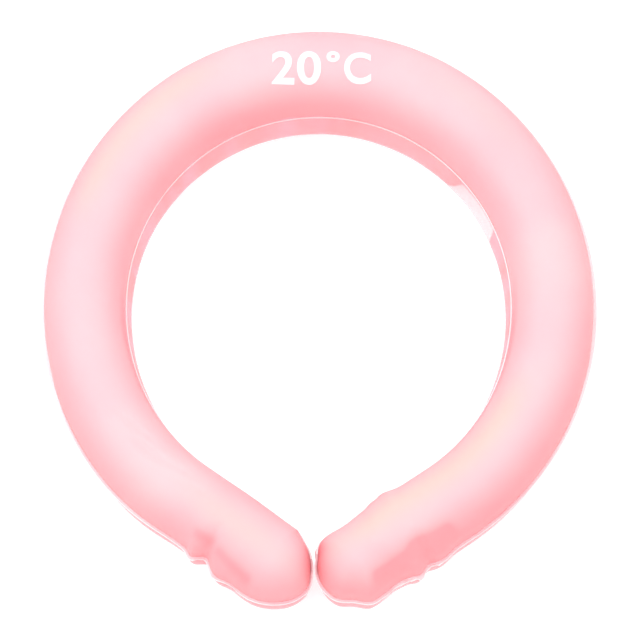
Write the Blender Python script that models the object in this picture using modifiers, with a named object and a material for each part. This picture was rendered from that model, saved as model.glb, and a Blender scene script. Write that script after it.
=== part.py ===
"""A cooling neck ring, lying flat as it rests on a table.

Two thin moulded films are welded to each other round a pale flange and hold a soft filling between
them. The ring is a tube bent most of the way round the neck, with two straight blunt-ended legs that
nearly touch at the front.

Metres, +Z up. The nape is towards +Y and the open ends towards -Y. The origin is the middle of the
ring's bounding box, on the surface that it lies on.
"""

import math
from collections import namedtuple

import bmesh
import bpy
from mathutils import Matrix, Vector

# The bend of the tube, along its middle.
BEND_WIDTH = 0.1517
BEND_DEPTH = 0.1612
BEND_REACH = math.radians(146.0)
LEFT_LEAN = math.radians(-0.5)
RIGHT_LEAN = math.radians(1.5)
MEETING_X = -0.0015
END_GAP = 0.0005

# The tube across its middle, without the flange.
NAPE_WIDTH = 0.0293
SIDE_WIDTH = 0.0265
LEG_WIDTH = 0.0257
CROWN_HEIGHT = 0.0138
BELLY_DEPTH = 0.0152
CROWN_ROUNDNESS = 2.4

# The films and what lies between them.
FILM_WALL = 0.0008
WELD_GAP = 0.0003
CORE_CLEARANCE = 0.0004
OUTER_FLANGE = 0.0011
NECK_BEAD = 0.0005

# The empty corner of the filling, seen through the film on the neck side.
POCKET_FROM = math.radians(42.0)
POCKET_TO = math.radians(64.0)
POCKET_DEPTH = 0.0032
POCKET_EDGE = math.radians(3.0)

# How finely the tube is divided.
BEND_STEPS = 38
LEG_STEPS = 9
CROWN_STEPS = 6

LEFT, RIGHT = -1, 1
NECK, OUTER = -1, 1

# A film in section, from the weld to the middle: how far out its wall stands on the neck side and on
# the outer side, as shares of the tube's half width, and how far it has risen or sunk from the flange.
WallRow = namedtuple("WallRow", "neck outer rise")
BELLY = (
    WallRow(1.004, 1.000, 0.07),
    WallRow(1.110, 1.015, 0.36),
    WallRow(1.115, 0.985, 0.63),
    WallRow(1.050, 0.920, 0.83),
    WallRow(0.900, 0.810, 0.95),
    WallRow(0.680, 0.640, 1.00),
)

# The blunt ends in plan: the angle in degrees from the leg's axis, positive towards the outer side,
# and how far each end reaches there as a share of the leg's half width.
TipRow = namedtuple("TipRow", "angle left right")
TIPS = (
    TipRow(-72.0, 0.91, 1.01),
    TipRow(-48.0, 0.89, 0.98),
    TipRow(-24.0, 0.91, 1.01),
    TipRow(0.0, 1.00, 1.03),
    TipRow(25.0, 0.98, 1.02),
    TipRow(50.0, 0.95, 0.92),
    TipRow(73.0, 0.97, 1.01),
)

# Folds of the legs: place and reach are shares of the leg's length, push moves the edge out by a share
# of the leg's width, and press sinks the shoulder above it by a share of the crown.
Fold = namedtuple("Fold", "leg side place reach push press")
FOLDS = (
    Fold(LEFT, OUTER, 0.15, 0.35, -0.035, 0.00),
    Fold(LEFT, OUTER, 0.52, 0.10, -0.030, 0.20),
    Fold(LEFT, OUTER, 0.72, 0.18, 0.000, 0.08),
    Fold(LEFT, NECK, 0.50, 0.30, 0.012, 0.00),
    Fold(RIGHT, OUTER, 0.50, 0.16, 0.030, 0.16),
    Fold(RIGHT, OUTER, 0.84, 0.16, -0.030, 0.16),
    Fold(RIGHT, NECK, 0.57, 0.14, 0.060, 0.00),
    Fold(RIGHT, NECK, 0.78, 0.08, 0.000, 0.08),
    Fold(RIGHT, NECK, 1.00, 0.16, -0.036, 0.00),
)

WELD_Z = BELLY_DEPTH
CROWN_BASE = WELD_Z + WELD_GAP / 2 + FILM_WALL
BELLY_BASE = WELD_Z - WELD_GAP / 2 - FILM_WALL
CROWN_TOP = WELD_Z + CROWN_HEIGHT

# One station of the tube's middle line, whose share along its leg is below zero on the bend, and one
# point of the outline round it.
Station = namedtuple("Station", "place outward bend leg share width")
RimPoint = namedtuple("RimPoint", "station outward reach flange neckward press pocket")


def smooth(share):
    """0 to 1 with level ends, and held there beyond them."""
    share = min(max(share, 0.0), 1.0)
    return share * share * (3.0 - 2.0 * share)


def superellipse(steps, roundness):
    """The crown's rows, with the weld and the middle left out."""
    rows = []
    for step in range(1, steps):
        angle = 0.5 * math.pi * step / steps
        out = math.cos(angle) ** (2.0 / roundness)
        rows.append(WallRow(out, out, math.sin(angle) ** (2.0 / roundness)))
    return rows


def out_at(row, point):
    """How far out a row stands at a point of the outline, as a share of its reach."""
    return row.outer + (row.neck - row.outer) * point.neckward


def bend_place(bend):
    """A point of the bend, at an angle from the nape."""
    return Vector((0.5 * BEND_WIDTH * math.sin(bend), 0.5 * BEND_DEPTH * math.cos(bend)))


def bend_outward(bend):
    """The direction square to the bend, away from the neck."""
    return Vector((BEND_DEPTH * math.sin(bend), BEND_WIDTH * math.cos(bend))).normalized()


def bend_width(bend):
    """The tube's width round the bend: widest at the nape, narrowest where the legs start."""
    bend = abs(bend)
    if bend < 0.5 * math.pi:
        return SIDE_WIDTH + (NAPE_WIDTH - SIDE_WIDTH) * math.cos(bend) ** 2
    share = smooth((bend - 0.5 * math.pi) / (BEND_REACH - 0.5 * math.pi))
    return SIDE_WIDTH + (LEG_WIDTH - SIDE_WIDTH) * share


def leg_outward(leg):
    """The direction square to a leg, away from the neck. The leg leans in from the bend's own line."""
    lean = LEFT_LEAN if leg == LEFT else RIGHT_LEAN
    outward = bend_outward(leg * BEND_REACH)
    outward.rotate(Matrix.Rotation(-leg * lean, 2))
    return outward


def leg_axis(leg):
    """The direction in which a leg runs on from the bend."""
    outward = leg_outward(leg)
    return Vector((outward.y, -outward.x)) * leg


def tip_arms(leg):
    """(direction, reach, flange, neckward) of each point round a blunt end, from the neck side outwards."""
    axis = leg_axis(leg)
    outward = leg_outward(leg)
    arms = []
    for row in TIPS:
        angle = math.radians(row.angle)
        direction = axis * math.cos(angle) + outward * math.sin(angle)
        reach = 0.5 * LEG_WIDTH * (row.left if leg == LEFT else row.right)
        neckward = smooth(-row.angle / 90.0)
        flange = OUTER_FLANGE + (NECK_BEAD - OUTER_FLANGE) * neckward
        arms.append((direction, reach, flange, neckward))
    return arms


def leg_length(leg):
    """The straight run from the bend that leaves half of the end gap to where the ends meet."""
    start = bend_place(leg * BEND_REACH)
    tip = max(-leg * arm[0].x * (arm[1] + arm[2]) for arm in tip_arms(leg))
    run = leg * (start.x - MEETING_X) - tip - 0.5 * END_GAP
    return run / abs(leg_axis(leg).x)


def leg_stations(leg):
    """The stations of one leg, from the bend to the middle of its blunt end."""
    start = bend_place(leg * BEND_REACH)
    outward = leg_outward(leg)
    stations = []
    for step in range(1, LEG_STEPS + 1):
        share = step / LEG_STEPS
        place = start + leg_axis(leg) * leg_length(leg) * share
        stations.append(Station(place, outward, leg * BEND_REACH, leg, share, LEG_WIDTH))
    return stations


def middle_line():
    """The tube's stations, from the end of the left leg over the nape to the end of the right leg."""
    bend = []
    for step in range(BEND_STEPS + 1):
        angle = BEND_REACH * (2.0 * step / BEND_STEPS - 1.0)
        leg = LEFT if angle < 0.0 else RIGHT
        place = bend_place(angle)
        share = -(place - bend_place(leg * BEND_REACH)).length / leg_length(leg)
        bend.append(Station(place, bend_outward(angle), angle, leg, share, bend_width(angle)))
    return leg_stations(LEFT)[::-1] + bend + leg_stations(RIGHT)


def fold_at(station, side):
    """(push, press) of the folds at one side of a station."""
    push, press = 0.0, 0.0
    for fold in FOLDS:
        if fold.leg == station.leg and fold.side == side:
            bump = math.exp(-(((station.share - fold.place) / fold.reach) ** 2))
            push += fold.push * bump
            press += fold.press * bump
    return push * LEG_WIDTH, press


def pocket_at(station, side):
    """How far the filling's lower corner is empty at one side of a station."""
    if side == OUTER:
        return 0.0
    opening = smooth((station.bend - POCKET_FROM) / POCKET_EDGE)
    closing = smooth((POCKET_TO - station.bend) / POCKET_EDGE)
    return POCKET_DEPTH * opening * closing


def side_point(stations, index, side):
    """The outline's point at one side of a station."""
    station = stations[index]
    push, press = fold_at(station, side)
    flange = OUTER_FLANGE if side == OUTER else NECK_BEAD
    neckward = 0.0 if side == OUTER else 1.0
    reach = 0.5 * station.width + push
    pocket = pocket_at(station, side)
    return RimPoint(index, station.outward * side, reach, flange, neckward, press, pocket)


def outline(stations):
    """The closed outline of the tube, clockwise seen from above, starting at the end of the left leg."""
    last = len(stations) - 1
    left_tip = [RimPoint(0, *arm, 0.0, 0.0) for arm in tip_arms(LEFT)]
    right_tip = [RimPoint(last, *arm, 0.0, 0.0) for arm in tip_arms(RIGHT)]
    outer = [side_point(stations, index, OUTER) for index in range(last + 1)]
    neck = [side_point(stations, index, NECK) for index in range(last, -1, -1)]
    return outer + right_tip[::-1] + neck + left_tip


def pressed(row, point, height):
    """What a fold leaves of a row's height: the crown sinks towards its edge, and the belly stays."""
    return 1.0 - point.press * out_at(row, point) if height > 0.0 else 1.0


def level(stations, rim, reach_of, height_of):
    """One row of points round the outline."""
    row = []
    for point in rim:
        flat = stations[point.station].place + point.outward * reach_of(point)
        row.append(Vector((flat.x, flat.y, height_of(point))))
    return row


def half_shell(stations, rim, base, height, profile):
    """Rows from the flange's edge up or down the wall, and the line of points over the middle line."""
    rows = [
        level(stations, rim, lambda point: point.reach + point.flange, lambda point: base),
        level(stations, rim, lambda point: point.reach, lambda point: base),
    ]
    for row in profile:
        rows.append(
            level(
                stations,
                rim,
                lambda point: point.reach * out_at(row, point),
                lambda point: base + height * row.rise * pressed(row, point, height),
            )
        )
    ridge = [Vector((s.place.x, s.place.y, base + height)) for s in stations]
    return rows, ridge


def add_rows(mesh, rows):
    """Vertices for each row, with faces between one row and the next."""
    made = [[mesh.verts.new(point) for point in row] for row in rows]
    for first, second in zip(made, made[1:]):
        for i in range(len(first)):
            j = (i + 1) % len(first)
            mesh.faces.new((first[i], first[j], second[j], second[i]))
    return made


def close_ridge(mesh, rim, row, ridge):
    """Faces from the last row to the line over the middle, with fans round the two ends."""
    tops = [mesh.verts.new(point) for point in ridge]
    for i, point in enumerate(rim):
        j = (i + 1) % len(rim)
        here, there = tops[point.station], tops[rim[j].station]
        corners = (row[i], row[j], here) if here is there else (row[i], row[j], there, here)
        mesh.faces.new(corners)


def finish_object(name, mesh, material, collection):
    """An object in the ring's collection, shaded smooth except along its sharp edges."""
    data = bpy.data.meshes.new(name)
    mesh.to_mesh(data)
    mesh.free()
    data.shade_smooth()
    data.set_sharp_from_angle(angle=math.radians(45.0))
    data.materials.append(material)
    made = bpy.data.objects.new(name, data)
    collection.objects.link(made)
    return made


def film(name, stations, rim, base, height, profile, material, collection):
    """One moulded half: the open outer surface, thickened inwards."""
    mesh = bmesh.new()
    rows, ridge = half_shell(stations, rim, base, height, profile)
    made = add_rows(mesh, rows)
    close_ridge(mesh, rim, made[-1], ridge)
    if height > 0.0:
        bmesh.ops.reverse_faces(mesh, faces=mesh.faces[:])
    shell = finish_object(name, mesh, material, collection)
    wall = shell.modifiers.new("wall", "SOLIDIFY")
    wall.thickness = FILM_WALL
    wall.offset = -1.0
    wall.use_even_offset = True
    wall.use_quality_normals = True
    return shell


def core_rows(stations, rim, base, height, profile):
    """Rows of the filling, set in from the film by its wall and the clearance."""
    inset = FILM_WALL + CORE_CLEARANCE
    rise_to = height - math.copysign(inset, height)
    rows = [level(stations, rim, lambda point: point.reach - inset, lambda point: base)]
    for row in profile:
        corner = row.rise if height < 0.0 else 0.0
        rows.append(
            level(
                stations,
                rim,
                lambda point: (point.reach - inset) * out_at(row, point) - point.pocket * corner,
                lambda point: base + rise_to * row.rise * pressed(row, point, height),
            )
        )
    ridge = [Vector((s.place.x, s.place.y, base + rise_to)) for s in stations]
    return rows, ridge


def core(name, stations, rim, crown, material, collection):
    """The filling: one closed body inside both films."""
    mesh = bmesh.new()
    upper, upper_ridge = core_rows(stations, rim, CROWN_BASE, CROWN_TOP - CROWN_BASE, crown)
    lower, lower_ridge = core_rows(stations, rim, BELLY_BASE, -BELLY_BASE, BELLY)
    made = add_rows(mesh, upper[::-1] + lower)
    close_ridge(mesh, rim, made[-1], lower_ridge)
    close_ridge(mesh, rim, made[0], upper_ridge)
    bmesh.ops.recalc_face_normals(mesh, faces=mesh.faces[:])
    return finish_object(name, mesh, material, collection)


def material(name, colour, roughness, alpha=1.0):
    """A plain finish."""
    made = bpy.data.materials.new(name)
    made.use_nodes = True
    shader = made.node_tree.nodes["Principled BSDF"]
    shader.inputs["Base Color"].default_value = (*colour, 1.0)
    shader.inputs["Roughness"].default_value = roughness
    shader.inputs["Metallic"].default_value = 0.0
    shader.inputs["Alpha"].default_value = alpha
    return made


def centred(stations, rim):
    """The stations, moved so that the ring's bounding box is centred on the origin."""
    edge = level(stations, rim, lambda point: point.reach + point.flange, lambda point: 0.0)
    middle_x = 0.5 * (min(p.x for p in edge) + max(p.x for p in edge))
    middle_y = 0.5 * (min(p.y for p in edge) + max(p.y for p in edge))
    return [s._replace(place=s.place - Vector((middle_x, middle_y))) for s in stations]


def clear_scene():
    for old in list(bpy.data.objects):
        bpy.data.objects.remove(old)


def build():
    clear_scene()
    collection = bpy.data.collections.new("cooling_neck_ring")
    bpy.context.scene.collection.children.link(collection)
    stations = middle_line()
    rim = outline(stations)
    stations = centred(stations, rim)
    crown = superellipse(CROWN_STEPS, CROWN_ROUNDNESS)
    film_pink = material("film", (0.96, 0.80, 0.83), 0.22, 0.45)
    core_pink = material("core", (0.98, 0.48, 0.52), 0.50)
    crown_height = CROWN_TOP - CROWN_BASE
    film("upper_film", stations, rim, CROWN_BASE, crown_height, crown, film_pink, collection)
    film("lower_film", stations, rim, BELLY_BASE, -BELLY_BASE, BELLY, film_pink, collection)
    core("cooling_core", stations, rim, crown, core_pink, collection)


build()
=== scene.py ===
"""A cooling neck ring of clear moulded film round a pink filling, lying flat on a pale floor."""

import math
from collections import namedtuple

import bmesh
import bpy
from mathutils import Matrix, Vector, noise
from mathutils.bvhtree import BVHTree


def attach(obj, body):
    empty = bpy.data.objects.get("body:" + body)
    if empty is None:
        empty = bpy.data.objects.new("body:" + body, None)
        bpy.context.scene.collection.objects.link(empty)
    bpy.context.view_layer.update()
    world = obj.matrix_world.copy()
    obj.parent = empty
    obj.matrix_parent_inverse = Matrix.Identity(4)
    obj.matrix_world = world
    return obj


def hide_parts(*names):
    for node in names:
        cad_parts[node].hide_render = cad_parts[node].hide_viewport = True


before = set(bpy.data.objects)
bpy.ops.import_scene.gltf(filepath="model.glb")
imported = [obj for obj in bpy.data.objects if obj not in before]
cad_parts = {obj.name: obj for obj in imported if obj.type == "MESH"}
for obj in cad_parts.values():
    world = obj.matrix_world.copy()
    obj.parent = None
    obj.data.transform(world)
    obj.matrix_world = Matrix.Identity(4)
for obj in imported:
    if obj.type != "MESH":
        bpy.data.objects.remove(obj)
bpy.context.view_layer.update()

# The bend of the tube, along its middle.
BEND_WIDTH = 0.1517
BEND_DEPTH = 0.1612
BEND_REACH = math.radians(146.0)
LEFT_LEAN = math.radians(-0.5)
RIGHT_LEAN = math.radians(1.5)
MEETING_X = -0.0015
END_GAP = 0.0001

# The tube across its middle, without the flange.
NAPE_WIDTH = 0.0293
SIDE_WIDTH = 0.0265
LEG_WIDTH = 0.0257
CROWN_HEIGHT = 0.0138
BELLY_DEPTH = 0.0152
CROWN_ROUNDNESS = 2.4

# The films and what lies between them. Each film is drawn as one skin, and the filling keeps a film's
# thickness from it.
FILM_WALL = 0.00012
CORE_CLEARANCE = 0.00003
OUTER_FLANGE = 0.0011
NECK_BEAD = 0.0006
BEAD_TRIM = 0.4
INK_LIFT = 0.00006

LEFT, RIGHT = -1, 1
NECK, OUTER = -1, 1

# The empty corner of the filling, seen through the film on the neck side.
POCKET_FROM = math.radians(46.0)
POCKET_TO = math.radians(68.0)
POCKET_DEPTH = 0.0036
POCKET_EDGE = math.radians(2.0)

# Painted shade: how the filling's pink is darkened from the middle of the crown down its sides, where the
# light falls off: the angle in degrees round the bend from the nape, positive to the right, how deep the
# painted shade gets on the neck side and outside, and how close to each side that happens.
ShadeDepth = namedtuple("ShadeDepth", "bend neck outer neck_power outer_power")
SHADE_DEPTHS = (
    ShadeDepth(-146.0, 0.75, 0.80, 3.5, 2.0),
    ShadeDepth(-110.0, 0.60, 0.80, 3.0, 2.0),
    ShadeDepth(-65.0, 0.62, 1.00, 1.8, 3.0),
    ShadeDepth(-15.0, 0.90, 1.20, 1.6, 4.5),
    ShadeDepth(30.0, 0.62, 1.10, 1.8, 4.5),
    ShadeDepth(70.0, 0.45, 0.85, 2.0, 2.4),
    ShadeDepth(110.0, 0.65, 1.00, 3.0, 1.8),
    ShadeDepth(146.0, 0.95, 1.10, 4.5, 1.7),
)
# Painted shade on the filling's lower wall: full under the weld and less towards the bottom.
WALL_SHADE = 1.0
BELLY_SHADE_FADE = 0.25

# The filling's pinks, each from the darker to the paler clouds: the pink as lit on top of the crown, the
# same pink in painted shade for its sides, and painted reflection streaks for the lower wall.
PALE = ((0.30, (1.0, 0.445, 0.495)), (0.52, (1.0, 0.480, 0.525)), (0.72, (1.0, 0.520, 0.550)))
SHADED_PINK = ((0.30, (1.0, 0.230, 0.265)), (0.52, (1.0, 0.255, 0.290)), (0.72, (1.0, 0.280, 0.310)))
REFLECTION_STREAKS = ((0.36, (1.0, 0.27, 0.29)), (0.50, (0.96, 0.31, 0.35)), (0.66, (0.86, 0.36, 0.44)))
# A painted peach highlight.
HIGHLIGHT_PEACH = (1.0, 0.525, 0.460)
# Painted shade for the crown's very edge.
EDGE_SHADE_TINT = (0.80, 0.190, 0.240)

# Painted peach highlights on the filling, as a bend from one angle to another and a place across the tube.
PaintedHighlight = namedtuple("PaintedHighlight", "start end across width strength")
PAINTED_HIGHLIGHTS = (
    PaintedHighlight(-78.0, -18.0, 0.42, 0.34, 0.70),
    PaintedHighlight(108.0, 180.0, -0.45, 0.34, 0.90),
    PaintedHighlight(-180.0, -140.0, -0.05, 0.40, 0.45),
    PaintedHighlight(20.0, 60.0, 0.30, 0.30, 0.20),
)
HIGHLIGHT_EDGE = 16.0
LEG_AS_BEND = 26.0

# Painted shade beside the folds of the legs, darkening the filling's pink along a line from one place to
# another.
FoldShade = namedtuple("FoldShade", "leg along across to_along to_across width depth")
FOLD_SHADES = (
    FoldShade(LEFT, 0.34, 0.66, 0.46, 0.60, 0.0017, 0.55),
    FoldShade(LEFT, 0.58, 0.70, 0.92, 0.84, 0.0016, 0.50),
    FoldShade(RIGHT, 0.25, 0.72, 0.55, 0.60, 0.0024, 0.75),
    FoldShade(RIGHT, 0.50, 0.66, 0.96, 0.70, 0.0018, 0.80),
)

# Painted shade along the crown's very edge, where it is seen at a grazing angle: from where on, and up to
# which bend in degrees it is on the outer side instead of the neck side.
EDGE_SHADE_FROM = 0.86
EDGE_SHADE_BEND = 75.0
EDGE_SHADE_BLEND = 30.0

# How uneven the film is, in metres.
CROWN_SWELL = 0.0002
BELLY_SWELL = 0.0003
WIDE_SWELLS = 38.0
FINE_SWELLS = 110.0

# How finely the tube is divided.
BEND_STEPS = 250
LEG_STEPS = 54
TIP_STEPS = 6
CROWN_STEPS = 22
BELLY_STEPS = 4
FLANGE_ROWS = 4
EDGE_ROWS = 1

WallRow = namedtuple("WallRow", "neck outer rise")
BELLY = (
    WallRow(1.000, 1.000, 0.00),
    WallRow(1.012, 1.002, 0.07),
    WallRow(1.098, 1.015, 0.36),
    WallRow(1.115, 0.985, 0.63),
    WallRow(1.050, 0.920, 0.83),
    WallRow(0.900, 0.810, 0.95),
    WallRow(0.680, 0.640, 1.00),
    WallRow(0.340, 0.320, 1.00),
)

TipRow = namedtuple("TipRow", "angle left right")
TIPS = (
    TipRow(-72.0, 0.91, 1.01),
    TipRow(-58.0, 0.90, 1.05),
    TipRow(-42.0, 0.89, 0.99),
    TipRow(-24.0, 0.91, 1.01),
    TipRow(0.0, 1.00, 1.03),
    TipRow(25.0, 0.98, 1.02),
    TipRow(50.0, 0.95, 0.92),
    TipRow(73.0, 0.97, 1.01),
)

# Folds of the legs: place and reach are shares of the leg's length, push moves the edge out by a share
# of the leg's width, and press sinks the shoulder above it by a share of the crown.
Fold = namedtuple("Fold", "leg side place reach push press")
FOLDS = (
    Fold(LEFT, OUTER, 0.15, 0.35, -0.035, 0.00),
    Fold(LEFT, OUTER, 0.345, 0.05, 0.047, 0.00),
    Fold(LEFT, OUTER, 0.475, 0.065, -0.068, 0.10),
    Fold(LEFT, OUTER, 0.65, 0.09, 0.047, 0.16),
    Fold(LEFT, OUTER, 0.90, 0.12, 0.016, 0.00),
    Fold(LEFT, NECK, 0.50, 0.30, 0.012, 0.00),
    Fold(RIGHT, OUTER, 0.36, 0.10, 0.035, 0.06),
    Fold(RIGHT, OUTER, 0.485, 0.035, -0.014, 0.08),
    Fold(RIGHT, OUTER, 0.61, 0.06, 0.045, 0.12),
    Fold(RIGHT, OUTER, 0.83, 0.11, -0.025, 0.16),
    Fold(RIGHT, NECK, 0.50, 0.10, 0.050, 0.00),
    Fold(RIGHT, NECK, 0.63, 0.05, 0.020, 0.00),
    Fold(RIGHT, NECK, 0.78, 0.08, 0.000, 0.08),
    Fold(RIGHT, NECK, 0.94, 0.14, -0.030, 0.00),
)

# Crumpled stretches of the flange: place and reach are shares of the leg's length, spread is how much
# wider the flange is there, lift how far it curls up or down, and waves how many crests it has.
Ruffle = namedtuple("Ruffle", "leg place reach spread lift waves")
RUFFLES = (
    Ruffle(LEFT, 0.41, 0.06, 0.0006, 0.0006, 3.0),
    Ruffle(LEFT, 0.60, 0.04, 0.0005, 0.0005, 2.0),
    Ruffle(LEFT, 0.80, 0.10, -0.0004, 0.0002, 1.0),
    Ruffle(RIGHT, 0.45, 0.06, 0.0005, 0.0006, 3.0),
    Ruffle(RIGHT, 0.615, 0.028, 0.0016, -0.0008, 1.0),
    Ruffle(RIGHT, 0.73, 0.07, 0.0006, 0.0008, 4.0),
    Ruffle(RIGHT, 0.88, 0.08, 0.0002, 0.0004, 2.0),
)

# Shallow hollows of the crown: along is a share of the leg's length from the bend, across runs from -1
# on the neck side to 1 on the outer side, and depth is in metres.
Hollow = namedtuple("Hollow", "leg along reach across width depth")
HOLLOWS = (
    Hollow(LEFT, 0.44, 0.16, 0.72, 0.24, 0.0012),
    Hollow(LEFT, 0.74, 0.16, 0.78, 0.20, 0.0010),
    Hollow(RIGHT, 0.42, 0.22, 0.70, 0.24, 0.0014),
    Hollow(RIGHT, 0.76, 0.18, 0.72, 0.24, 0.0013),
)

# Fine creases of the film, from one place to another on a leg.
Crease = namedtuple("Crease", "leg along across to_along to_across width depth")
CREASES = (
    Crease(LEFT, -1.05, -0.02, -0.55, -0.42, 0.0009, 0.00045),
    Crease(LEFT, -0.95, 0.12, -0.35, -0.20, 0.0010, 0.00040),
    Crease(LEFT, -0.60, -0.12, -0.05, -0.42, 0.0010, 0.00045),
    Crease(LEFT, -0.35, 0.08, 0.15, -0.22, 0.0009, 0.00030),
)

WALL_TOP = WallRow(1.0, 1.0, 0.0)
WELD_Z = BELLY_DEPTH
CROWN_BASE = WELD_Z + FILM_WALL
BELLY_BASE = WELD_Z - FILM_WALL
CROWN_TOP = WELD_Z + CROWN_HEIGHT

Station = namedtuple("Station", "place outward bend leg share width")
RimPoint = namedtuple("RimPoint", "station outward reach flange neckward press pocket ahead side lift")


def smooth(share):
    """0 to 1 with level ends, and held there beyond them."""
    share = min(max(share, 0.0), 1.0)
    return share * share * (3.0 - 2.0 * share)


def bell(distance):
    return math.exp(-distance * distance)


def spline(points, steps):
    """Points on a smooth curve through the given ones, steps to each stretch, both ends included."""
    made = []
    last = len(points) - 1
    for i in range(last):
        before, start = points[max(i - 1, 0)], points[i]
        end, after = points[i + 1], points[min(i + 2, last)]
        for step in range(steps):
            t = step / steps
            made.append(
                0.5
                * (
                    2.0 * start
                    + (end - before) * t
                    + (2.0 * before - 5.0 * start + 4.0 * end - after) * t * t
                    + (3.0 * start - before - 3.0 * end + after) * t * t * t
                )
            )
    return made + [points[-1].copy()]


def crown_rows():
    """The upper film in section, from just above the weld to just beside the middle."""
    rows = []
    for step in range(1, CROWN_STEPS):
        angle = 0.5 * math.pi * step / CROWN_STEPS
        out = math.cos(angle) ** (2.0 / CROWN_ROUNDNESS)
        rows.append(WallRow(out, out, math.sin(angle) ** (2.0 / CROWN_ROUNDNESS)))
    return rows


def belly_rows():
    """The lower film in section, from just under the weld to near the middle."""
    points = spline([Vector((row.neck, row.outer, row.rise)) for row in BELLY], BELLY_STEPS)
    return [WallRow(p.x, p.y, min(max(p.z, 0.0), 1.0)) for p in points[1:]]


def out_at(row, point):
    return row.outer + (row.neck - row.outer) * point.neckward


def bend_place(bend):
    return Vector((0.5 * BEND_WIDTH * math.sin(bend), 0.5 * BEND_DEPTH * math.cos(bend)))


def bend_outward(bend):
    return Vector((BEND_DEPTH * math.sin(bend), BEND_WIDTH * math.cos(bend))).normalized()


def bend_width(bend):
    """The tube's width round the bend: widest at the nape, narrowest where the legs start."""
    bend = abs(bend)
    if bend < 0.5 * math.pi:
        return SIDE_WIDTH + (NAPE_WIDTH - SIDE_WIDTH) * math.cos(bend) ** 2
    share = smooth((bend - 0.5 * math.pi) / (BEND_REACH - 0.5 * math.pi))
    return SIDE_WIDTH + (LEG_WIDTH - SIDE_WIDTH) * share


def leg_outward(leg):
    lean = LEFT_LEAN if leg == LEFT else RIGHT_LEAN
    outward = bend_outward(leg * BEND_REACH)
    outward.rotate(Matrix.Rotation(-leg * lean, 2))
    return outward


def leg_axis(leg):
    outward = leg_outward(leg)
    return Vector((outward.y, -outward.x)) * leg


def tip_reach(row, leg):
    return 0.5 * LEG_WIDTH * (row.left if leg == LEFT else row.right)


def tip_flange(neckward):
    return OUTER_FLANGE + (NECK_BEAD - OUTER_FLANGE) * neckward


def leg_length(leg):
    """The straight run from the bend that leaves half of the end gap to where the ends meet."""
    start, axis, outward = bend_place(leg * BEND_REACH), leg_axis(leg), leg_outward(leg)
    reaches = []
    for row in TIPS:
        angle = math.radians(row.angle)
        direction = axis * math.cos(angle) + outward * math.sin(angle)
        reach = tip_reach(row, leg) + tip_flange(smooth(-row.angle / 90.0))
        reaches.append(-leg * direction.x * reach)
    run = leg * (start.x - MEETING_X) - max(reaches) - 0.5 * END_GAP
    return run / abs(axis.x)


LENGTHS = {leg: leg_length(leg) for leg in (LEFT, RIGHT)}


def leg_stations(leg):
    start = bend_place(leg * BEND_REACH)
    outward = leg_outward(leg)
    stations = []
    for step in range(1, LEG_STEPS + 1):
        share = step / LEG_STEPS
        place = start + leg_axis(leg) * LENGTHS[leg] * share
        stations.append(Station(place, outward, leg * BEND_REACH, leg, share, LEG_WIDTH))
    return stations


def middle_line():
    """The tube's stations, from the end of the left leg over the nape to the end of the right leg."""
    bend = []
    for step in range(BEND_STEPS + 1):
        angle = BEND_REACH * (2.0 * step / BEND_STEPS - 1.0)
        leg = LEFT if angle < 0.0 else RIGHT
        place = bend_place(angle)
        share = -(place - bend_place(leg * BEND_REACH)).length / LENGTHS[leg]
        bend.append(Station(place, bend_outward(angle), angle, leg, share, bend_width(angle)))
    return leg_stations(LEFT)[::-1] + bend + leg_stations(RIGHT)


def fold_at(station, side):
    """(push, press) of the folds at one side of a station."""
    push, press = 0.0, 0.0
    for fold in FOLDS:
        if fold.leg == station.leg and fold.side == side:
            bump = bell((station.share - fold.place) / fold.reach)
            push += fold.push * bump
            press += fold.press * bump
    return push * LEG_WIDTH, press


def ruffle_at(station):
    """(spread, lift) of the flange's outer edge at a station."""
    spread, lift = 0.0, 0.0
    for ruffle in RUFFLES:
        if ruffle.leg == station.leg:
            away = (station.share - ruffle.place) / ruffle.reach
            spread += ruffle.spread * bell(away) * (0.75 + 0.25 * math.sin(4.1 * ruffle.waves * away))
            lift += ruffle.lift * bell(away) * math.sin(ruffle.waves * away + ruffle.place)
    return spread, lift


def pocket_at(station, side):
    if side == OUTER:
        return 0.0
    opening = smooth((station.bend - POCKET_FROM) / POCKET_EDGE)
    closing = smooth((POCKET_TO - station.bend) / POCKET_EDGE)
    return POCKET_DEPTH * opening * closing


def side_point(stations, index, side):
    """The outline's point at one side of a station."""
    station = stations[index]
    push, press = fold_at(station, side)
    spread, lift = ruffle_at(station) if side == OUTER else (0.0, 0.0)
    flange = (OUTER_FLANGE if side == OUTER else NECK_BEAD) + spread
    neckward = 0.0 if side == OUTER else 1.0
    reach = 0.5 * station.width + push
    pocket = pocket_at(station, side)
    outward = station.outward * side
    return RimPoint(index, outward, reach, flange, neckward, press, pocket, 0.0, side, lift)


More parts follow.
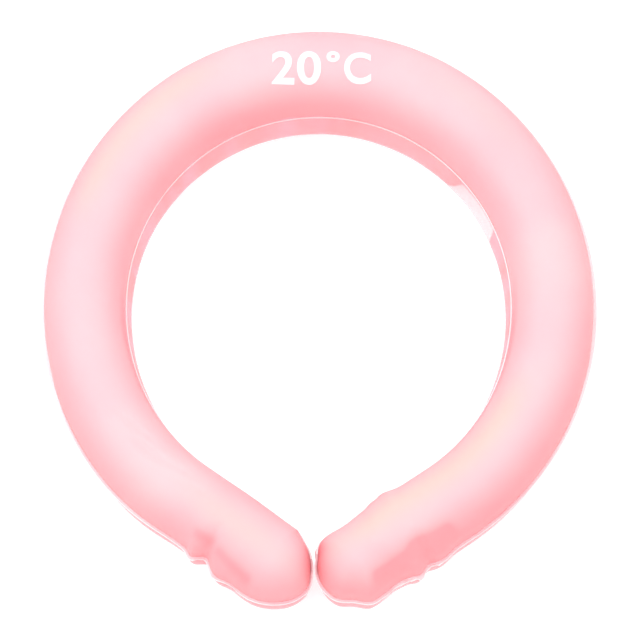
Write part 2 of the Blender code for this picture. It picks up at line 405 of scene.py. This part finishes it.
def tip_points(stations, index):
    """The outline round a blunt end, from the neck side outwards, with both sides' points left out."""
    station = stations[index]
    axis, outward = leg_axis(station.leg), leg_outward(station.leg)
    neck, outer = side_point(stations, index, NECK), side_point(stations, index, OUTER)
    spots = [-outward * neck.reach]
    for row in TIPS:
        angle = math.radians(row.angle)
        direction = axis * math.cos(angle) + outward * math.sin(angle)
        spots.append(direction * tip_reach(row, station.leg))
    spots.append(outward * outer.reach)
    points = []
    for spot in spline(spots, TIP_STEPS)[1:-1]:
        ahead, side = spot.dot(axis) / spot.length, spot.dot(outward) / spot.length
        neckward = smooth(-math.atan2(side, ahead) / (0.5 * math.pi))
        outerward = smooth(math.atan2(side, ahead) / (0.5 * math.pi))
        press = neck.press * neckward + outer.press * outerward
        lift = outer.lift * outerward
        flange = tip_flange(neckward) + (outer.flange - OUTER_FLANGE) * outerward
        points.append(
            RimPoint(
                index, spot.normalized(), spot.length, flange, neckward, press, 0.0, ahead, side, lift
            )
        )
    return points


def outline(stations):
    """The closed outline of the tube, clockwise seen from above, starting at the end of the left leg."""
    last = len(stations) - 1
    outer = [side_point(stations, index, OUTER) for index in range(last + 1)]
    neck = [side_point(stations, index, NECK) for index in range(last, -1, -1)]
    return outer + tip_points(stations, last)[::-1] + neck + tip_points(stations, 0)


def centred(stations):
    """The stations, moved so that the CAD box is centred on the origin."""
    edge = []
    for station in stations:
        for side in (NECK, OUTER):
            push = fold_at(station, side)[0]
            flange = OUTER_FLANGE if side == OUTER else NECK_BEAD
            reach = 0.5 * station.width + push + flange
            edge.append(station.place + station.outward * side * reach)
    for leg, station in ((LEFT, stations[0]), (RIGHT, stations[-1])):
        for row in TIPS:
            angle = math.radians(row.angle)
            direction = leg_axis(leg) * math.cos(angle) + leg_outward(leg) * math.sin(angle)
            reach = tip_reach(row, leg) + tip_flange(smooth(-row.angle / 90.0))
            edge.append(station.place + direction * reach)
    middle_x = 0.5 * (min(p.x for p in edge) + max(p.x for p in edge))
    middle_y = 0.5 * (min(p.y for p in edge) + max(p.y for p in edge))
    return [s._replace(place=s.place - Vector((middle_x, middle_y))) for s in stations]


def near_line(station, point, out, line):
    """1 on a line drawn from one place to another on a leg, fading to 0 away from it."""
    if line.leg != station.leg:
        return 0.0
    length = LENGTHS[station.leg]
    along = station.share * length + out * point.ahead * point.reach
    across = out * point.side * point.reach
    half = 0.5 * LEG_WIDTH
    start = Vector((line.along * length, line.across * half))
    run = Vector((line.to_along * length, line.to_across * half)) - start
    here = Vector((along, across)) - start
    share = min(max(here.dot(run) / run.length_squared, 0.0), 1.0)
    return bell((here - run * share).length / line.width)


def sunk(station, point, out):
    """How far the crown's hollows and creases sink it at one place, in metres."""
    length = LENGTHS[station.leg]
    along = station.share + out * point.ahead * point.reach / length
    across = out * point.side * point.reach / (0.5 * station.width)
    depth = 0.0
    for hollow in HOLLOWS:
        if hollow.leg == station.leg:
            near = bell((along - hollow.along) / hollow.reach)
            depth += hollow.depth * near * bell((across - hollow.across) / hollow.width)
    for crease in CREASES:
        depth += crease.depth * near_line(station, point, out, crease)
    return depth


def swell(point, strength):
    """The film's slight unevenness."""
    wide = noise.noise(point * WIDE_SWELLS)
    fine = noise.noise(point * FINE_SWELLS + Vector((3.1, 1.7, 0.4)))
    return strength * (0.75 * wide + 0.25 * fine)


class Tube:
    """Stations, outline and section of the ring, from which each skin is drawn."""

    def __init__(self):
        self.stations = centred(middle_line())
        self.rim = outline(self.stations)
        self.crown = crown_rows()
        self.belly = belly_rows()

    def at(self, point, reach, z):
        flat = self.stations[point.station].place + point.outward * reach
        return Vector((flat.x, flat.y, z))

    def wall_point(self, row, point, inset, crown):
        """One point of the wall, set in from the film's outside."""
        out = out_at(row, point)
        station = self.stations[point.station]
        if crown:
            height = (CROWN_TOP - CROWN_BASE) * (1.0 - point.press * out) - inset
            reach = (point.reach - inset) * out
            z = CROWN_BASE + height * row.rise - sunk(station, point, out) * row.rise
        else:
            height = BELLY_BASE - inset
            reach = (point.reach - inset) * out
            if inset:
                reach -= point.pocket * smooth(1.6 * row.rise)
            z = BELLY_BASE - height * row.rise
        made = self.at(point, reach, z)
        if crown:
            strength = CROWN_SWELL * smooth(3.0 * row.rise)
            made.z += swell(made, strength)
        elif row.rise < 0.9:
            side = point.outward * swell(made, BELLY_SWELL * smooth(3.0 * row.rise))
            made.x += side.x
            made.y += side.y
        return made

    def ridge_point(self, index, inset, crown):
        """One point over or under the middle line."""
        place = self.stations[index].place
        if not crown:
            return Vector((place.x, place.y, inset))
        made = Vector((place.x, place.y, CROWN_TOP - inset))
        made.z += swell(made, CROWN_SWELL)
        return made

    def flange_rows(self, base):
        """The flange from its cut edge to the weld."""
        rows = []
        for step in range(FLANGE_ROWS):
            share = 1.0 - step / FLANGE_ROWS
            row = []
            for point in self.rim:
                curl = point.lift * share * share
                run = point.flange * share * (1.0 - BEAD_TRIM * point.neckward)
                row.append(self.at(point, point.reach + run, base + curl))
            rows.append(row)
        rows.append([self.at(point, point.reach, base) for point in self.rim])
        return rows


def ring_mesh(name, tube, rows, ridge, inward, closed_rows=None):
    """A mesh of rows round the tube, with the last row closed over the middle line."""
    verts, faces = [], []
    count = len(tube.rim)
    for row in rows:
        verts.extend(row)
    for k in range(len(rows) - 1):
        for i in range(count):
            j = (i + 1) % count
            faces.append((k * count + i, k * count + j, (k + 1) * count + j, (k + 1) * count + i))
    caps = [(len(rows) - 1, ridge, False)]
    if closed_rows:
        caps.append((0, closed_rows, True))
    for row_index, line, turned in caps:
        first = len(verts)
        verts.extend(line)
        for i, point in enumerate(tube.rim):
            j = (i + 1) % count
            a, b = row_index * count + i, row_index * count + j
            here, there = first + point.station, first + tube.rim[j].station
            corners = (a, b, here) if here == there else (a, b, there, here)
            faces.append(corners[::-1] if turned else corners)
    if inward:
        faces = [face[::-1] for face in faces]
    data = bpy.data.meshes.new(name)
    data.from_pydata(verts, [], faces)
    data.update()
    data.shade_smooth()
    made = bpy.data.objects.new(name, data)
    bpy.context.scene.collection.objects.link(made)
    return made


def film(name, tube, crown, materials):
    """One moulded half, with its flange in milkier finishes; its seam and cut edge are near white, partly
    as bare film and partly as a painted highlight.
    """
    base = CROWN_BASE if crown else BELLY_BASE
    profile = tube.crown if crown else tube.belly
    rows = tube.flange_rows(base)
    rows += [[tube.wall_point(row, point, 0.0, crown) for point in tube.rim] for row in profile]
    ridge = [tube.ridge_point(index, 0.0, crown) for index in range(len(tube.stations))]
    made = ring_mesh(name, tube, rows, ridge, inward=crown)
    for material in materials:
        made.data.materials.append(material)
    for row in range(FLANGE_ROWS):
        for i, point in enumerate(tube.rim):
            # The neck-side bead and the flange's cut edge get the near-white finish, partly bare film and
            # partly a painted highlight.
            seam_highlight = point.neckward > 0.5 or row < EDGE_ROWS
            made.data.polygons[row * len(tube.rim) + i].material_index = 2 if seam_highlight else 1
    return made


def filling(name, tube, material):
    """The filling, set in from both films, with an empty corner on the neck side."""
    inset = FILM_WALL + CORE_CLEARANCE
    upper = [[tube.wall_point(row, point, inset, True) for point in tube.rim] for row in tube.crown]
    lower = [[tube.wall_point(row, point, inset, False) for point in tube.rim] for row in tube.belly]
    middle = [tube.at(point, point.reach - inset, CROWN_BASE) for point in tube.rim]
    under = [tube.at(point, point.reach - inset, BELLY_BASE) for point in tube.rim]
    rows = upper[::-1] + [middle, under] + lower
    count = range(len(tube.stations))
    low = [tube.ridge_point(index, inset, False) for index in count]
    high = [tube.ridge_point(index, inset, True) for index in count]
    made = ring_mesh(name, tube, rows, low, inward=False, closed_rows=high)
    made.data.materials.append(material)
    # Kept for the material: painted shade down the sides, painted peach highlights, painted shade along
    # the crown's very edge, and where painted reflection streaks go.
    paint(made, "painted_shade", filling_painted_shade(tube))
    paint(made, "painted_highlight", filling_highlights(tube))
    paint(made, "rim", filling_edge_shades(tube))
    paint(made, "painted_reflection", reflection_streak_wall(tube))
    return made


def paint(piece, name, values):
    """Keeps one number for each vertex of a piece, for its material to read."""
    layer = piece.data.attributes.new(name, "FLOAT", "POINT")
    layer.data.foreach_set("value", values)


def shade_depth_at(station):
    """The row of the table of painted shade for a station."""
    bend = math.degrees(station.bend)
    for low, high in zip(SHADE_DEPTHS, SHADE_DEPTHS[1:]):
        if bend <= high.bend:
            break
    share = smooth((bend - low.bend) / (high.bend - low.bend))
    return ShadeDepth(*[first + (second - first) * share for first, second in zip(low, high)])


def highlight_at(station, across):
    """How strong the painted peach highlight is at one place of the crown."""
    along = math.degrees(station.bend) + station.leg * max(station.share, 0.0) * LEG_AS_BEND
    highlight = 0.0
    for highlight_patch in PAINTED_HIGHLIGHTS:
        rise = smooth((along - highlight_patch.start) / HIGHLIGHT_EDGE)
        fall = smooth((highlight_patch.end - along) / HIGHLIGHT_EDGE)
        highlight += highlight_patch.strength * rise * fall * bell((across - highlight_patch.across) / highlight_patch.width)
    return highlight


def across_at(row, point):
    """The place across the tube, from -1 on the neck side to 1 on the outer side."""
    return out_at(row, point) * point.side


def painted_shade_at(tube, row, point):
    """How much painted shade darkens the pink at one place of the crown, down its sides and beside the
    folds.
    """
    station = tube.stations[point.station]
    edge, out = shade_depth_at(station), out_at(row, point)
    neck = edge.neck * out**edge.neck_power
    outer = edge.outer * out**edge.outer_power
    depth = outer + (neck - outer) * point.neckward
    for fold_shade in FOLD_SHADES:
        depth += fold_shade.depth * near_line(station, point, out, fold_shade)
    return depth


def edge_shade_at(row, point, tube):
    """How strongly painted shade darkens the crown's very edge, where it is seen at a grazing angle."""
    bend = abs(math.degrees(tube.stations[point.station].bend))
    neck = point.neckward * smooth((bend - EDGE_SHADE_BEND) / EDGE_SHADE_BLEND)
    outer = (1.0 - point.neckward) * smooth((EDGE_SHADE_BEND - bend) / EDGE_SHADE_BLEND)
    return (neck + outer) * smooth((out_at(row, point) - EDGE_SHADE_FROM) / (1.0 - EDGE_SHADE_FROM))


def filling_painted_shade(tube):
    """How much painted shade darkens the pink: least over the middle of the crown, most down the sides."""
    values = []
    for row in tube.crown[::-1]:
        values += [painted_shade_at(tube, row, point) for point in tube.rim]
    values += [painted_shade_at(tube, WALL_TOP, point) for point in tube.rim] * 2
    for row in tube.belly:
        values += [WALL_SHADE - BELLY_SHADE_FADE * smooth(row.rise)] * len(tube.rim)
    count = len(tube.stations)
    return values + [WALL_SHADE - BELLY_SHADE_FADE] * count + [0.0] * count


# Painted shade along the crown's very edge, one number for each vertex of the filling.
def filling_edge_shades(tube):
    values = []
    for row in tube.crown[::-1]:
        values += [edge_shade_at(row, point, tube) for point in tube.rim]
    values += [edge_shade_at(WALL_TOP, point, tube) for point in tube.rim]
    return values + [0.0] * ((1 + len(tube.belly)) * len(tube.rim) + 2 * len(tube.stations))


# Painted peach highlights, one number for each vertex of the filling.
def filling_highlights(tube):
    values = []
    for row in tube.crown[::-1]:
        values += [highlight_at(tube.stations[p.station], across_at(row, p)) for p in tube.rim]
    values += [0.0] * ((2 + len(tube.belly)) * len(tube.rim) + len(tube.stations))
    return values + [highlight_at(station, 0.0) for station in tube.stations]


def reflection_streak_wall(tube):
    """1 on the lower wall towards the neck, where painted reflection streaks are laid on the filling, and
    0 elsewhere.
    """
    values = [0.0] * (len(tube.crown) * len(tube.rim))
    values += [point.neckward for point in tube.rim] * (2 + len(tube.belly))
    return values + [0.0] * (2 * len(tube.stations))


# The printed figure at the nape: each sign, and where it starts and ends across and up.
Sign = namedtuple("Sign", "text left right low high weight")
FIGURE = (
    Sign("2", -0.0155, -0.0080, 0.0743, 0.0859, 0.022),
    Sign("0", -0.0072, 0.0008, 0.0743, 0.0859, 0.022),
    Sign("°", 0.0025, 0.0069, 0.0818, 0.0859, 0.030),
    Sign("C", 0.0083, 0.0172, 0.0743, 0.0855, 0.022),
)
FIGURE_CELL = 0.0006


def sign_outline(sign):
    """One sign's flat outline, fitted into its place."""
    curve = bpy.data.curves.new("sign", "FONT")
    curve.body = sign.text
    curve.offset = sign.weight
    curve.resolution_u = 6
    letter = bpy.data.objects.new("sign", curve)
    bpy.context.scene.collection.objects.link(letter)
    bpy.context.view_layer.update()
    graph = bpy.context.evaluated_depsgraph_get()
    flat = bpy.data.meshes.new_from_object(letter.evaluated_get(graph))
    bpy.data.objects.remove(letter)
    across = [v.co.x for v in flat.vertices]
    up = [v.co.y for v in flat.vertices]
    for v in flat.vertices:
        x = (v.co.x - min(across)) / (max(across) - min(across))
        y = (v.co.y - min(up)) / (max(up) - min(up))
        v.co = (
            sign.left + (sign.right - sign.left) * x,
            sign.low + (sign.high - sign.low) * y,
            0.0,
        )
    return flat


def printed_figure(name, signs, under, material):
    """The figure, cut finely and laid on the film beneath it."""
    mesh = bmesh.new()
    for sign in signs:
        flat = sign_outline(sign)
        mesh.from_mesh(flat)
        bpy.data.meshes.remove(flat)
    bmesh.ops.remove_doubles(mesh, verts=mesh.verts[:], dist=0.00001)
    low = Vector((min(v.co.x for v in mesh.verts), min(v.co.y for v in mesh.verts), 0.0))
    high = Vector((max(v.co.x for v in mesh.verts), max(v.co.y for v in mesh.verts), 0.0))
    for axis in (Vector((1.0, 0.0, 0.0)), Vector((0.0, 1.0, 0.0))):
        for cut in range(1, int((high - low).dot(axis) / FIGURE_CELL)):
            geom = mesh.verts[:] + mesh.edges[:] + mesh.faces[:]
            plane = axis * (low.dot(axis) + cut * FIGURE_CELL)
            bmesh.ops.bisect_plane(mesh, geom=geom, plane_co=plane, plane_no=axis)
    surface = BVHTree.FromObject(under, bpy.context.evaluated_depsgraph_get())
    for v in mesh.verts:
        hit = surface.ray_cast(Vector((v.co.x, v.co.y, 1.0)), Vector((0.0, 0.0, -1.0)))[0]
        v.co.z = hit.z + INK_LIFT
    data = bpy.data.meshes.new(name)
    mesh.to_mesh(data)
    mesh.free()
    data.shade_smooth()
    data.materials.append(material)
    made = bpy.data.objects.new(name, data)
    bpy.context.scene.collection.objects.link(made)
    return made


def new_material(name):
    """(material, its nodes, its links, its shader)"""
    made = bpy.data.materials.new(name)
    made.use_nodes = True
    tree = made.node_tree
    return made, tree.nodes, tree.links, tree.nodes["Principled BSDF"]


def noise_node(nodes, links, scale, detail, roughness=0.5):
    place = nodes.new("ShaderNodeTexCoord")
    made = nodes.new("ShaderNodeTexNoise")
    made.inputs["Scale"].default_value = scale
    made.inputs["Detail"].default_value = detail
    made.inputs["Roughness"].default_value = roughness
    links.new(place.outputs["Object"], made.inputs["Vector"])
    return made


def ramp_node(nodes, links, source, stops):
    made = nodes.new("ShaderNodeValToRGB")
    ramp = made.color_ramp
    while len(ramp.elements) < len(stops):
        ramp.elements.new(0.5)
    for element, (place, colour) in zip(ramp.elements, stops):
        element.position = place
        element.color = (*colour, 1.0)
    links.new(source, made.inputs["Fac"])
    return made


def bump_node(nodes, links, height, strength, distance):
    made = nodes.new("ShaderNodeBump")
    made.inputs["Strength"].default_value = strength
    made.inputs["Distance"].default_value = distance
    links.new(height, made.inputs["Height"])
    return made


def value_of(nodes, name):
    """The number kept at each vertex under a name."""
    made = nodes.new("ShaderNodeAttribute")
    made.attribute_name = name
    return made.outputs["Fac"]


def mix_node(nodes, links, share, first, second):
    """first and second mixed by share; each is a colour or a socket."""
    made = nodes.new("ShaderNodeMix")
    made.data_type = "RGBA"
    links.new(share, made.inputs["Factor"])
    for socket, source in ((made.inputs[6], first), (made.inputs[7], second)):
        if isinstance(source, tuple):
            socket.default_value = (*source, 1.0)
        else:
            links.new(source, socket)
    return made.outputs[2]


def filling_material():
    made, nodes, links, shader = new_material("filling_pink")
    clouds = noise_node(nodes, links, 26.0, 3.0)
    # The pink as lit and the same pink in painted shade, mixed with painted peach highlights, painted
    # shade down the sides and beside the folds, and painted shade along the crown's very edge.
    pale = ramp_node(nodes, links, clouds.outputs["Fac"], PALE)
    shaded = ramp_node(nodes, links, clouds.outputs["Fac"], SHADED_PINK)
    highlighted = mix_node(nodes, links, value_of(nodes, "painted_highlight"), pale.outputs["Color"], HIGHLIGHT_PEACH)
    painted_shade = mix_node(nodes, links, value_of(nodes, "painted_shade"), highlighted, shaded.outputs["Color"])
    body = mix_node(nodes, links, value_of(nodes, "rim"), painted_shade, EDGE_SHADE_TINT)

    # Painted reflection streaks, stretched upright, laid on the lower wall towards the neck.
    place = nodes.new("ShaderNodeTexCoord")
    flatten = nodes.new("ShaderNodeMapping")
    flatten.inputs["Scale"].default_value = (1.0, 1.0, 0.12)
    links.new(place.outputs["Object"], flatten.inputs["Vector"])
    reflection_streaks = nodes.new("ShaderNodeTexNoise")
    reflection_streaks.inputs["Scale"].default_value = 150.0
    reflection_streaks.inputs["Detail"].default_value = 1.5
    links.new(flatten.outputs["Vector"], reflection_streaks.inputs["Vector"])
    wall = ramp_node(nodes, links, reflection_streaks.outputs["Fac"], REFLECTION_STREAKS)
    colour = mix_node(nodes, links, value_of(nodes, "painted_reflection"), body, wall.outputs["Color"])
    links.new(colour, shader.inputs["Base Color"])
    grain = noise_node(nodes, links, 420.0, 2.0)
    bump = bump_node(nodes, links, grain.outputs["Fac"], 0.10, 0.0004)
    links.new(bump.outputs["Normal"], shader.inputs["Normal"])
    shader.inputs["Roughness"].default_value = 0.55
    shader.inputs["Subsurface Weight"].default_value = 0.25
    shader.inputs["Subsurface Radius"].default_value = (1.0, 0.35, 0.30)
    shader.inputs["Subsurface Scale"].default_value = 0.003
    return made


def film_material(name, milky, clear, alpha, roughness, shine, ripple_size):
    """Clear film, tinted between two colours by a fine haze, with a slight ripple."""
    made, nodes, links, shader = new_material(name)
    haze = noise_node(nodes, links, 60.0, 4.0)
    ramp = ramp_node(nodes, links, haze.outputs["Fac"], ((0.30, milky), (0.70, clear)))
    links.new(ramp.outputs["Color"], shader.inputs["Base Color"])
    ripple = noise_node(nodes, links, ripple_size, 2.0)
    bump = bump_node(nodes, links, ripple.outputs["Fac"], 0.12, 0.0005)
    links.new(bump.outputs["Normal"], shader.inputs["Normal"])
    shader.inputs["Roughness"].default_value = roughness
    shader.inputs["Specular IOR Level"].default_value = shine
    shader.inputs["Alpha"].default_value = alpha
    return made


def ink_material():
    made, nodes, links, shader = new_material("ink_white")
    grain = noise_node(nodes, links, 900.0, 3.0)
    ramp = ramp_node(
        nodes,
        links,
        grain.outputs["Fac"],
        ((0.35, (0.98, 0.88, 0.91)), (0.60, (1.0, 0.94, 0.97))),
    )
    links.new(ramp.outputs["Color"], shader.inputs["Base Color"])
    shader.inputs["Roughness"].default_value = 0.45
    shader.inputs["Alpha"].default_value = 0.82
    return made


def floor_material():
    made, nodes, links, shader = new_material("floor_white")
    grain = noise_node(nodes, links, 9.0, 2.0)
    ramp = ramp_node(
        nodes,
        links,
        grain.outputs["Fac"],
        ((0.40, (0.62, 0.62, 0.62)), (0.60, (0.65, 0.65, 0.65))),
    )
    links.new(ramp.outputs["Color"], shader.inputs["Base Color"])
    shader.inputs["Roughness"].default_value = 0.85
    shader.inputs["Specular IOR Level"].default_value = 0.1
    shader.inputs["Emission Color"].default_value = (1.0, 1.0, 1.0, 1.0)
    shader.inputs["Emission Strength"].default_value = 0.6
    return made


def make_floor():
    mesh = bmesh.new()
    bmesh.ops.create_grid(mesh, x_segments=8, y_segments=8, size=2.5)
    data = bpy.data.meshes.new("floor")
    mesh.to_mesh(data)
    mesh.free()
    data.materials.append(floor_material())
    made = bpy.data.objects.new("floor", data)
    bpy.context.scene.collection.objects.link(made)
    return made


def area_light(name, place, aim, size, power, colour=(1.0, 1.0, 1.0)):
    lamp = bpy.data.lights.new(name, "AREA")
    lamp.shape = "DISK"
    lamp.size = size
    lamp.energy = power
    lamp.color = colour
    made = bpy.data.objects.new(name, lamp)
    made.location = place
    made.rotation_euler = (Vector(aim) - Vector(place)).to_track_quat("-Z", "Y").to_euler()
    bpy.context.scene.collection.objects.link(made)
    return made


def make_camera(aim, tilt, distance, pixel):
    """A camera tilted from straight down, far enough back that a pixel is of the given size at its aim."""
    lens = bpy.data.cameras.new("camera")
    lens.sensor_width = 36.0
    lens.lens = lens.sensor_width * distance / (pixel * IMAGE_WIDTH)
    lens.clip_start = 0.01
    made = bpy.data.objects.new("camera", lens)
    back = Vector((0.0, -math.sin(tilt), math.cos(tilt)))
    made.location = Vector(aim) + back * distance
    made.rotation_euler = (tilt, 0.0, 0.0)
    bpy.context.scene.collection.objects.link(made)
    bpy.context.scene.camera = made


KEY_PLACE = (-0.24, 0.22, 1.1)
KEY_SIZE = 0.9
KEY_POWER = 6.0

# The camera looks down at the ring, tilted towards the open ends. A pixel is so many metres at its aim.
IMAGE_WIDTH = 640.0
CAMERA_AIM = (0.0004, -0.00341, WELD_Z)
CAMERA_TILT = math.radians(20.0)
CAMERA_DISTANCE = 1.0
PIXEL = 0.0003237

tube = Tube()
crown_clear = film_material("film_clear", (1.0, 0.86, 0.88), (1.0, 0.94, 0.95), 0.14, 0.45, 0.3, 150.0)
belly_clear = film_material("film_milky", (1.0, 0.78, 0.82), (1.0, 0.90, 0.93), 0.30, 0.45, 0.3, 150.0)
weld = film_material("film_weld", (1.0, 0.68, 0.73), (1.0, 0.82, 0.85), 0.45, 0.35, 0.4, 600.0)
# Near-white film for the seam bead and the cut edge: partly bare film, partly a painted highlight along
# the weld.
seam_highlight = film_material("film_seam_highlight", (1.0, 0.88, 0.90), (1.0, 0.97, 0.97), 0.75, 0.30, 0.5, 600.0)
upper = film("film_crown", tube, True, (crown_clear, weld, seam_highlight))
lower = film("film_belly", tube, False, (belly_clear, weld, seam_highlight))
core = filling("pink_filling", tube, filling_material())
figure = printed_figure("printed_figure", FIGURE, upper, ink_material())

for piece, node, slot in (
    (upper, "upper_film", "film"),
    (lower, "lower_film", "film"),
    (core, "cooling_core", "core"),
):
    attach(piece, "root")
    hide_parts(node)
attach(figure, "root")

make_floor()
area_light("key", KEY_PLACE, (0.0, 0.0, 0.0), KEY_SIZE, KEY_POWER)
world = bpy.data.worlds.new("studio")
world.use_nodes = True
world.node_tree.nodes["Background"].inputs["Color"].default_value = (1.0, 1.0, 1.0, 1.0)
world.node_tree.nodes["Background"].inputs["Strength"].default_value = 1.0
bpy.context.scene.world = world
bpy.context.scene.view_settings.view_transform = "Standard"
make_camera(CAMERA_AIM, CAMERA_TILT, CAMERA_DISTANCE, PIXEL)
